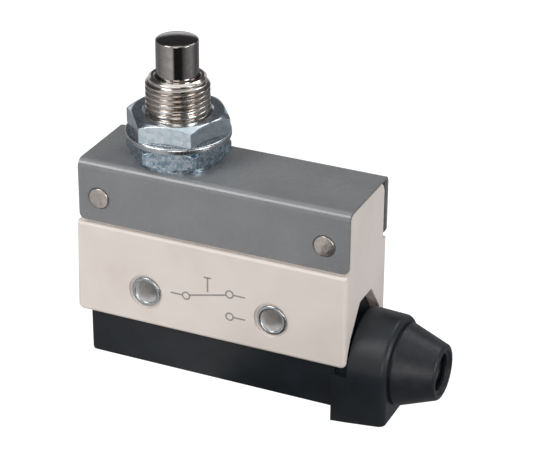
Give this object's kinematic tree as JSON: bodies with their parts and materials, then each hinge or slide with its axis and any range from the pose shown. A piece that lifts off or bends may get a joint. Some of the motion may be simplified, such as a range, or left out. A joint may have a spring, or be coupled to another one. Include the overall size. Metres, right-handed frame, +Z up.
{
  "type": "limit switch",
  "caption": "Enclosed snap-action limit switch with a panel-mount push plunger on a threaded bush, a steel-capped case, screw terminals under a black cover and a rubber cable boot.",
  "frame": {"origin": "midway between the two mounting holes, at half the case's thickness", "axes": "+X towards the cable boot, -Y out of the front face, +Z up along the plunger, away from the case"},
  "size_m": [0.0699, 0.0194, 0.0657],
  "materials": {
    "cream_plastic": "moulded, fine matte",
    "grey_paint": "satin paint on sheet steel",
    "nickel_plate": "bright nickel plate",
    "zinc_plate": "clear blue zinc plate",
    "plunger_steel": "ground and polished stainless steel",
    "rivet_steel": "plain steel",
    "black_plastic": "moulded, satin",
    "black_rubber": "moulded, soft matte",
    "spring_steel": "drawn wire",
    "lid_phenolic": "moulded phenolic",
    "strip_brass": "stamped strip",
    "blade_copper": "rolled copper alloy strip",
    "contact_silver": "silver alloy"
  },
  "bodies": {
    "case": {"housing": "cream_plastic", "mount_sleeve_left": "nickel_plate", "mount_sleeve_right": "nickel_plate", "top_cover": "grey_paint", "cover_rivets": "rivet_steel", "threaded_bush": "nickel_plate", "plunger_seal": "black_rubber", "bush_gasket": "black_rubber", "lower_nut": "zinc_plate", "return_spring": "spring_steel", "spring_seat": "rivet_steel", "chamber_lid": "lid_phenolic", "common_terminal": "strip_brass", "nc_terminal": "strip_brass", "nc_contact": "contact_silver", "no_terminal": "strip_brass", "no_contact": "contact_silver", "terminal_washers": "zinc_plate", "terminal_screws": "zinc_plate", "terminal_cover": "black_plastic", "cover_gasket": "black_rubber", "cable_boot": "black_rubber"},
    "plunger": {"plunger": "plunger_steel", "pin_keeper": "rivet_steel", "overtravel_spring": "spring_steel"},
    "actuating_pin": {"inner_pin": "lid_phenolic"},
    "moving_blade": {"snap_blade": "blade_copper", "moving_contact": "contact_silver"},
    "washer": {"panel_washer": "nickel_plate"},
    "panel_nut": {"upper_nut": "zinc_plate"}
  },
  "joints": [
    {"name": "plunger_press", "type": "slide", "parent": "case", "child": "plunger", "axis": [0, 0, 1], "range_m": [-0.0065, 0], "stiffness_N_per_m": 450, "springref_m": 0.006, "deforming": ["return_spring", "overtravel_spring"]},
    {"name": "pin_stroke", "type": "slide", "parent": "case", "child": "actuating_pin", "axis": [0, 0, 1], "range_m": [-0.00033, 0]},
    {"name": "blade_snap", "type": "hinge", "parent": "case", "child": "moving_blade", "pos_m": [-0.0206, 0, 0.0122], "axis": [0, 1, 0], "range_deg": [0, 1.9]},
    {"name": "washer_lift", "type": "slide", "parent": "case", "child": "washer", "axis": [0, 0, 1], "range_m": [0, 0.006]},
    {"name": "nut_turn", "type": "hinge", "parent": "washer", "child": "panel_nut", "pos_m": [-0.01015, 0, 0.0319], "axis": [0, 0, 1], "range_deg": [0, 2161]}
  ],
  "couplings": [
    {"joint": "pin_stroke", "follows": "plunger_press", "ratio": 0.05},
    {"joint": "blade_snap", "follows": "plunger_press", "rad_per_m": -4.994},
    {"joint": "nut_turn", "follows": "washer_lift", "rad_per_m": 6283.2}
  ]
}
